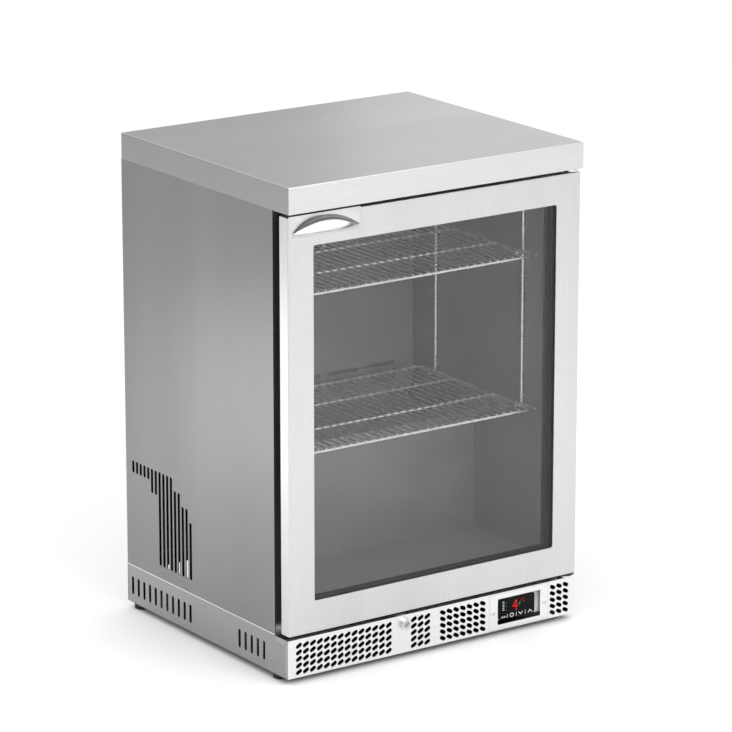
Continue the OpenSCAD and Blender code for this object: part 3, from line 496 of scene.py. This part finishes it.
def pull_pocket(hollow, pocket_painted_highlight):
    """The scooped finger pocket: a painted highlight in a band under its upper edge, painted shade over
    the rest.
    """
    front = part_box("door_frame")[0].y - PULL_PLATE
    columns, rows = 61, 25
    points = []
    for i in range(columns):
        s = 2 * i / (columns - 1) - 1
        x, z0 = leaf_point(s, PULL_LOW)
        z1 = leaf_point(s, PULL_HIGH)[1]
        for j in range(rows):
            t = j / (rows - 1)
            depth = 8.5 * MM * (1 - s * s) ** 0.5 * math.sin(math.pi * t) ** 0.55
            points.append(Vector((x, front + 0.3 * MM + depth, z0 + (z1 - z0) * t)))
    bm = bmesh.new()
    grid(bm, points, columns, rows)
    # painted highlight and shade: faces in the band under the upper edge, short of the right tip, take
    # the light grey, the rest the dark grey
    for number, face in enumerate(bm.faces):
        along, up = number // (rows - 1) / columns, (number % (rows - 1) + 0.5) / (rows - 1)
        face.material_index = 0 if 0.82 < up < 0.97 and along < 0.84 else 1
    bmesh.ops.remove_doubles(bm, verts=bm.verts, dist=1e-6)
    pocket = piece("pull_pocket", mesh_from(bm, "pull_pocket"), pocket_painted_highlight, "door")
    pocket.data.materials.append(hollow)
    add_wall(pocket, 0.7 * MM)


def pull_shell(metal, painted_shade_lining):
    """The full shell in front, with a rolled rim, stopping short of the pocket's right tip. Its
    solidified back takes a dark metal that paints the shade behind the lip.
    """
    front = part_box("door_frame")[0].y - PULL_PLATE
    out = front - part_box("door_handle")[0].y
    centre, base = pull_tips()
    middle, reach = centre - 0.09 * PULL_HALF, 0.91 * PULL_HALF
    columns, rows, lip = 73, 19, 5
    points = []
    for i in range(columns):
        s = 0.995 * (2 * i / (columns - 1) - 1)
        c = 1 - s * s
        x, edge, rim, rolled = middle + s * reach, front - out * c, base + c * PULL_RIM, 1.1 * MM * c
        for j in range(rows):
            t = j / (rows - 1)
            rise = (PULL_RIM + PULL_DROP) * (0.35 * t + 0.65 * t * t) - PULL_DROP
            points.append(Vector((x, front - out * c * math.sin(math.pi / 2 * t), base + c * rise)))
        for k in range(1, lip + 1):
            a = math.pi * k / lip
            y = edge + rolled * (1 - math.cos(a))
            points.append(Vector((x, y, rim + rolled * math.sin(a) * 0.8)))
        points.append(Vector((x, edge + 2 * rolled, base + c * (PULL_RIM - 4 * MM))))
    bm = bmesh.new()
    grid(bm, points, columns, rows + lip + 1)
    bmesh.ops.remove_doubles(bm, verts=bm.verts, dist=1e-6)
    shell = piece("pull_shell", mesh_from(bm, "pull_shell"), metal, "door")
    shell.data.materials.append(painted_shade_lining)
    # painted shade: the back faces of the wall take the dark metal
    add_wall(shell, 0.5 * MM).material_offset = 1


# ---- controller ----


def strokes(bm, polylines, width, place):
    """Flat ribbons along polylines, raised a hair off the panel."""
    for line in polylines:
        for a, b in zip(line, line[1:]):
            run = Vector(b) - Vector(a)
            side = Vector((-run.y, run.x)).normalized() * width / 2
            end = run.normalized() * width / 2
            start, stop = Vector(a) - end, Vector(b) + end
            corners = [start + side, start - side, stop - side, stop + side]
            top = [bm.verts.new(place(c, 0.12 * MM)) for c in corners]
            low = [bm.verts.new(place(c, 0.0)) for c in corners]
            bm.faces.new(top)
            for i in range(4):
                bm.faces.new((top[i], low[i], low[(i + 1) % 4], top[(i + 1) % 4]))
            bm.faces.new(low[::-1])


def ellipse(u, v, half_u, half_v, steps=16):
    turns = [math.tau * i / steps for i in range(steps + 1)]
    return [(u + half_u * math.cos(a), v + half_v * math.sin(a)) for a in turns]


def controller_facia(materials):
    """The touch panel: a softly rounded black lens with a lit reading and printed marks that carry a
    painted glow.
    """
    lo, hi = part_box("controller_facia")
    width, height = hi.x - lo.x, hi.z - lo.z
    lens = curve_mesh(
        "controller_lens",
        [rounded((lo.x, lo.z), (hi.x, hi.z), 4 * MM)],
        hi.y - lo.y,
        0.5 * MM,
        lambda p: Vector((p.x, (lo.y + hi.y) / 2 + p.z, p.y)),
    )
    piece("controller_lens", lens, materials["display"], "cabinet", ["controller_facia"])

    def marks(name, polylines, thick, material):
        """Strokes in panel units, 0 to 1 across and up, with their width in millimetres."""
        bm = bmesh.new()
        real = [[Vector((u * width, v * height)) for u, v in line] for line in polylines]
        strokes(bm, real, thick * MM, lambda c, lift: Vector((lo.x + c.x, lo.y - lift, lo.z + c.y)))
        piece(name, mesh_from(bm, name, smooth=False), material, "cabinet")

    reading = [[(0.475, 0.80), (0.39, 0.53), (0.53, 0.53)], [(0.492, 0.82), (0.482, 0.33)]]
    marks("display_reading", reading, 1.35, materials["lit_red"])
    unit = [ellipse(0.632, 0.80, 0.012, 0.03), ellipse(0.70, 0.745, 0.034, 0.085)[2:15]]
    marks("display_unit", unit, 0.65, materials["lit_dim_red"])
    marks("display_running_mark", [[(0.565, 0.59), (0.595, 0.69)]], 1.7, materials["lit_green"])
    lights = [[(0.207, v), (0.213, v)] for v in (0.77, 0.59, 0.42)]
    marks("display_status_lights", lights, 1.2, materials["lit_green"])
    ticks = [[(0.105 + 0.004 * (i % 2), 0.85 - 0.1 * i), (0.145, 0.85 - 0.1 * i)] for i in range(5)]
    marks("display_status_marks", ticks, 1.05, materials["print_white_painted_glow"])
    dividers = [[(u, 0.21), (u, 0.03)] for u in (0.236, 0.49, 0.74)]
    bars = [[(0.065, 0.09), (0.20, 0.09)], [(0.09, 0.13), (0.11, 0.13)], [(0.15, 0.13), (0.17, 0.13)]]
    marks("display_key_dividers", dividers + bars, 0.75, materials["print_white_painted_glow"])
    symbols = [
        ellipse(0.364, 0.125, 0.048, 0.085),
        [(0.56, 0.185), (0.61, 0.065), (0.66, 0.185)],
        [(0.82, 0.065), (0.873, 0.185), (0.926, 0.065)],
    ]
    marks("display_key_symbols", symbols, 1.15, materials["print_white_painted_glow"])


# ---- gasket ----


def door_gasket(material):
    """Bellows gasket swept round the door: clip base, two soft folds and the magnet bead."""
    lo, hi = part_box("door_gasket")
    depth = hi.y - lo.y
    middle = 9 * MM
    profile = [
        (-9.0, 0.0), (9.0, 0.0), (9.0, 0.16), (6.4, 0.24), (3.2, 0.30), (6.2, 0.42), (2.6, 0.54),
        (5.6, 0.62), (8.2, 0.68), (8.5, 0.84), (7.8, 0.98), (-7.8, 0.98), (-8.5, 0.84), (-8.2, 0.68),
        (-5.6, 0.62), (-2.6, 0.54), (-6.2, 0.42), (-3.2, 0.30), (-6.4, 0.24), (-9.0, 0.16),
    ]
    corner_r = 13 * MM
    track = rounded((lo.x + middle, lo.z + middle), (hi.x - middle, hi.z - middle), corner_r, steps=8)
    bm = bmesh.new()
    count = len(track)
    rings = []
    for i, (x, z) in enumerate(track):
        before, after = Vector(track[i - 1]), Vector(track[(i + 1) % count])
        along = (after - before).normalized()
        outward = Vector((along.y, -along.x))
        rings.append([
            bm.verts.new((x + outward.x * u * MM, lo.y + v * depth, z + outward.y * u * MM))
            for u, v in profile
        ])
    for i in range(count):
        a, b = rings[i], rings[(i + 1) % count]
        for k in range(len(profile)):
            n = (k + 1) % len(profile)
            bm.faces.new((a[k], b[k], b[n], a[n]))
    piece("gasket_bellows", mesh_from(bm, "gasket_bellows"), material, "door", ["door_gasket"])


# ---- screws ----


def screw_heads(material):
    """Pan heads with a cross recess, one on each CAD screw: place, way it faces, radius, height."""
    places = []
    lo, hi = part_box("rear_cover")
    for x in (-288 * MM, 0, 288 * MM):
        for z in (lo.z + 11.65 * MM, hi.z - 12 * MM):
            places.append((Vector((x, hi.y, z)), 1, 4 * MM, 2.2 * MM))
    lo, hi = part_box("controller_bezel")
    middle = (lo.z + hi.z) / 2 - 1.7 * MM
    for x in (lo.x + 7.35 * MM, hi.x - 7.45 * MM):
        places.append((Vector((x, lo.y, middle)), -1, 3.4 * MM, 1.6 * MM))
    for bracket, ear in (("hinge_bracket_bottom", 20 * MM), ("hinge_bracket_top", -20 * MM)):
        low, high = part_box(bracket)
        centre = (low.z if ear > 0 else high.z) + ear
        for z in (centre - 7 * MM, centre + 7 * MM):
            places.append((Vector((high.x - 10 * MM, high.y - 2 * MM, z)), -1, 4.4 * MM, 2.2 * MM))
    bm = bmesh.new()
    for place, way, radius, height in places:
        one_screw(bm, place, way, radius, height)
    piece("screw_heads", mesh_from(bm, "screw_heads"), material, "cabinet", ["cabinet_screws"])


def one_screw(bm, place, way, radius, height):
    """A domed head on the X-Z plane: rings from the rim to the recess, then a cross-shaped pit."""
    arms = 16
    rings = []
    shape = [(1.0, 0.0), (1.0, 0.30), (0.93, 0.62), (0.72, 0.90), (0.50, 1.0)]
    for share, lift in shape:
        rings.append([(share, lift)] * arms)
    cross = [0.50 if i % 4 == 0 else (0.40 if i % 4 in (1, 3) else 0.17) for i in range(arms)]
    rings.append([(c, 0.99) for c in cross])
    rings.append([(c * 0.8, 0.45) for c in cross])
    made = []
    for ring in rings:
        verts = []
        for i, (share, lift) in enumerate(ring):
            a = math.tau * i / arms
            verts.append(
                bm.verts.new((
                    place.x + radius * share * math.cos(a),
                    place.y + way * height * lift,
                    place.z + radius * share * math.sin(a),
                ))
            )
        made.append(verts)
    for outer, inner in zip(made, made[1:]):
        for i in range(arms):
            bm.faces.new((outer[i], outer[(i + 1) % arms], inner[(i + 1) % arms], inner[i]))
    bm.faces.new(made[-1])
    bm.faces.new(made[0][::-1])


# ---- studio ----


def area_light(name, place, aim, size, power):
    light = bpy.data.lights.new(name, "AREA")
    light.shape = "RECTANGLE"
    light.size, light.size_y = size
    light.energy = power
    holder = bpy.data.objects.new(name, light)
    holder.location = place
    holder.rotation_euler = (Vector(aim) - Vector(place)).to_track_quat("-Z", "Y").to_euler()
    bpy.context.scene.collection.objects.link(holder)


def studio():
    bpy.context.scene.view_settings.view_transform = "Standard"
    world = bpy.data.worlds.new("studio")
    bpy.context.scene.world = world
    world.use_nodes = True
    tree = world.node_tree
    background = tree.nodes["Background"]
    background.inputs["Color"].default_value = (1, 1, 1, 1)
    height = tree.nodes.new("ShaderNodeSeparateXYZ")
    tree.links.new(tree.nodes.new("ShaderNodeTexCoord").outputs["Generated"], height.inputs["Vector"])
    soft = tree.nodes.new("ShaderNodeMapRange")
    soft.interpolation_type = "SMOOTHSTEP"
    soft.inputs["From Min"].default_value = 0.05
    soft.inputs["From Max"].default_value = 0.65
    soft.inputs["To Min"].default_value = 0.50
    soft.inputs["To Max"].default_value = 1.25
    tree.links.new(height.outputs["Z"], soft.inputs["Value"])
    tree.links.new(soft.outputs["Result"], background.inputs["Strength"])

    bm = bmesh.new()
    bmesh.ops.create_grid(bm, x_segments=12, y_segments=12, size=20)
    floor = bpy.data.objects.new("floor", mesh_from(bm, "floor"))
    bpy.context.scene.collection.objects.link(floor)
    paint = Shader("floor_paint", roughness=0.8)
    paint.colour(paint.noise((2, 2, 2)), [(0.3, grey(0.87)), (0.7, grey(0.885))])
    floor.data.materials.append(paint.material)

    area_light("key", (0.2, -3.1, 2.2), (0.1, -2.2, 0.0), (1.6, 1.6), 48)
    area_light("front_low", (0.2, -1.2, 1.5), (0.1, -0.7, 0.0), (1.2, 0.6), 2)
    area_light("back_right", (2.4, 2.3, 1.6), (0.3, 0.0, 0.85), (1.4, 1.0), 3)
    area_light("left_floor", (-1.0, 0.2, 1.2), (-0.7, 0.2, 0.0), (0.8, 0.8), 2.2)
    area_light("left_card", (-1.1, 0.7, 0.16), (-0.3, 0.0, 0.3), (0.6, 0.34), 1.0)


def camera():
    data = bpy.data.cameras.new("camera")
    data.sensor_width = 36
    data.lens = CAMERA_LENS
    data.clip_end = 60
    holder = bpy.data.objects.new("camera", data)
    holder.location = CAMERA_PLACE
    holder.rotation_euler = (math.radians(90 - CAMERA_PITCH), 0, math.radians(-CAMERA_YAW))
    bpy.context.scene.collection.objects.link(holder)
    bpy.context.scene.camera = holder


# ---- the fridge ----

camera()
studio()

UPRIGHT, ACROSS, DEEP = 2, 0, 1
# height of the painted highlight line along the side panels' lower edge
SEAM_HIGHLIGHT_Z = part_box("side_panel_left")[0].z + 0.9 * MM
materials = {
    "steel_upright": grained_steel("steel_upright", UPRIGHT, tone=0.61),
    "steel_across": grained_steel("steel_across", ACROSS, tone=0.66),
    # painted light: a brighter copy of the steel for the base front and bezel, which mirror the shaded
    # floor near the base
    "steel_base_painted_light": grained_steel("steel_base_painted_light", ACROSS, tone=0.80),
    # painted shade: a darker copy of the steel for the base skirts on the sides
    "steel_deep_painted_shade": grained_steel("steel_deep_painted_shade", DEEP, tone=0.31),
    # painted shade and highlight: a darker copy of the steel for the side panels, with a painted
    # highlight line at their lower edge
    "steel_side_painted_shade_and_highlight": grained_steel("steel_side_painted_shade_and_highlight", UPRIGHT, tone=0.235, edge=SEAM_HIGHLIGHT_Z),
    # painted shade: a darker copy of the steel for the worktop's top and the ends of the floor and
    # grille
    "steel_top_painted_shade": grained_steel("steel_top_painted_shade", ACROSS, tone=0.38),
    # painted shade: a darker copy of the steel for the worktop's ends
    "steel_lip_painted_shade": grained_steel("steel_lip_painted_shade", DEEP, tone=0.32),
    "zinc": zinc_sheet("zinc", 0.45),
    "liner": liner_sheet("liner", 0.25),
    "inner_sheet": liner_sheet("inner_sheet", 0.20),
    "chrome": bright_metal("chrome", 0.72, 0.10),
    # painted shade: a dark copy of polished metal for the back of the pull's shell
    "painted_shade_metal": bright_metal("painted_shade_metal", 0.20, 0.40),
    "satin": bright_metal("satin", 0.50, 0.30),
    # painted shade: dark grey for most of the pull's pocket
    "hollow": moulded("hollow", (0.27, 0.27, 0.27), rough=0.4, texture=300),
    # painted light: a pale diffuse grey in place of metal plating, so the bracket and keeper look lit
    # though they sit in shade
    "grey_painted_light": moulded("grey_painted_light", (0.42, 0.42, 0.42), rough=0.4, texture=300),
    # painted highlight: light grey for the band under the pocket's upper edge
    "pocket_painted_highlight": moulded("pocket_painted_highlight", (0.80, 0.80, 0.80), rough=0.35, texture=300),
    # painted shade: a dark copy of the zinc sheet for the base tray and wall inside the compressor
    # compartment
    "zinc_painted_shade": zinc_sheet("zinc_painted_shade", 0.11),
    "wire": bright_metal("wire", 0.95, 0.26),
    "copper": bright_metal("copper", 0.50, 0.28, warmth=0.45),
    "fins": bright_metal("fins", 0.55, 0.35),
    "black_plastic": moulded("black_plastic", (0.012, 0.012, 0.013)),
    "fan_plastic": moulded("fan_plastic", (0.018, 0.018, 0.02), rough=0.42),
    "white_plastic": moulded("white_plastic", (0.62, 0.62, 0.59), rough=0.4),
    "rubber": moulded("rubber", (0.010, 0.010, 0.011), rough=0.65, texture=500),
    "gasket": moulded("gasket", (0.008, 0.008, 0.009), rough=0.55, texture=300),
    "black_paint": coated("black_paint", (0.010, 0.010, 0.011)),
    "iron": coated("iron", (0.11, 0.11, 0.115), rough=0.55),
    "glass": clear_glass("glass"),
    "board": raw_board("board"),
    "foam": rigid_foam("foam"),
    "display": touch_lens("display"),
    "lit_red": glowing("lit_red", (0.85, 0.012, 0.012), 0.95),
    "lit_dim_red": glowing("lit_dim_red", (0.55, 0.01, 0.012), 0.6),
    "lit_green": glowing("lit_green", (0.01, 0.36, 0.08), 0.6),
    # painted glow: the printed white marks give off a soft light though they are only print
    "print_white_painted_glow": glowing("print_white_painted_glow", (0.70, 0.71, 0.72), 0.85),
}

# The material of each CAD node. The side panels, skirts, base front, bezel, compartment zinc, controller
# bracket and lock keeper take copies whose tones paint shade or light.
FINISHES_AND_PAINTED_TONES = {
    "steel_upright": ["door_frame", "front_frame"],
    "steel_side_painted_shade_and_highlight": ["side_panel_left", "side_panel_right"],
    "steel_across": ["worktop", "body_floor"],
    "steel_base_painted_light": ["front_grille", "controller_bezel"],
    "steel_deep_painted_shade": ["base_skirt_left", "base_skirt_right"],
    "zinc": ["back_panel", "rear_cover", "lock_nut", "closer_cartridge"],
    "zinc_painted_shade": ["base_tray", "compartment_wall"],
    "grey_painted_light": ["controller_bracket", "lock_keeper"],
    "liner": ["liner"],
    "inner_sheet": ["evaporator_cover", "evaporator_tray"],
    "chrome": ["lock_barrel", "hinge_bracket_bottom", "hinge_bracket_top"],
    "satin": ["lock_core"],
    "wire": ["shelf_upper", "shelf_lower", "shelf_rack_left", "shelf_rack_right", "fan_guard"],
    "copper": ["filter_drier", "refrigerant_pipes"],
    "fins": ["evaporator_coil", "condenser_coil"],
    "black_plastic": ["controller_body", "evaporator_fan_motor", "evaporation_tray", "junction_box",
                      "cable_gland", "temperature_probe", "door_inner_frame", "glazing_spacer",
                      "hinge_bushes"],
    "fan_plastic": ["evaporator_fan", "condenser_fan"],
    "white_plastic": ["led_lamp"],
    "rubber": ["rubber_feet", "compressor_grommets"],
    "black_paint": ["compressor_shell", "condenser_shroud", "condenser_fan_motor"],
    "iron": ["compressor_motor"],
    "glass": ["glass_outer", "glass_inner"],
    "board": ["worktop_core"],
    "foam": ["insulation"],
}
for finish_or_painted_tone, names in FINISHES_AND_PAINTED_TONES.items():
    for name in names:
        cad[name].data.materials.clear()
        cad[name].data.materials.append(materials[finish_or_painted_tone])

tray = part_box("base_tray")[1]
# painted shade and light by face: dark zinc on the floor's middle over the compartment, darker steel on
# the floor's and grille's ends and on the worktop's top and ends, plain zinc on the tray's back
for name, finish_or_painted_tone, chosen in (
    ("body_floor", "zinc_painted_shade", lambda face: abs(face.center.x) < tray.x - 2 * MM),
    ("body_floor", "steel_top_painted_shade", lambda face: abs(face.normal.x) > 0.5),
    ("base_tray", "zinc", lambda face: face.normal.y > 0.9 and face.center.y > tray.y - MM),
    ("front_grille", "steel_top_painted_shade", lambda face: abs(face.normal.x) > 0.5),
    ("worktop", "steel_top_painted_shade", lambda face: face.normal.z > 0.9),
    ("worktop", "steel_lip_painted_shade", lambda face: abs(face.normal.x) > 0.7),
):
    paint_faces_light_or_shade(name, materials[finish_or_painted_tone], chosen)

SOFT_EDGES = {
    0.35: ["side_panel_left", "side_panel_right", "base_skirt_left", "base_skirt_right", "body_floor"],
    0.3: ["controller_bezel", "controller_bracket", "lock_barrel", "lock_core",
          "hinge_bracket_bottom", "hinge_bracket_top"],
}
for width, names in SOFT_EDGES.items():
    for name in names:
        add_bevel(cad[name], width * MM)

pull_painted_reflection = metal_with_painted_reflection("pull_painted_reflection")
pull_plate(materials["steel_upright"])
pull_pocket(materials["hollow"], materials["pocket_painted_highlight"])
pull_shell(pull_painted_reflection, materials["painted_shade_metal"])
controller_facia(materials)
door_gasket(materials["gasket"])
screw_heads(materials["chrome"])
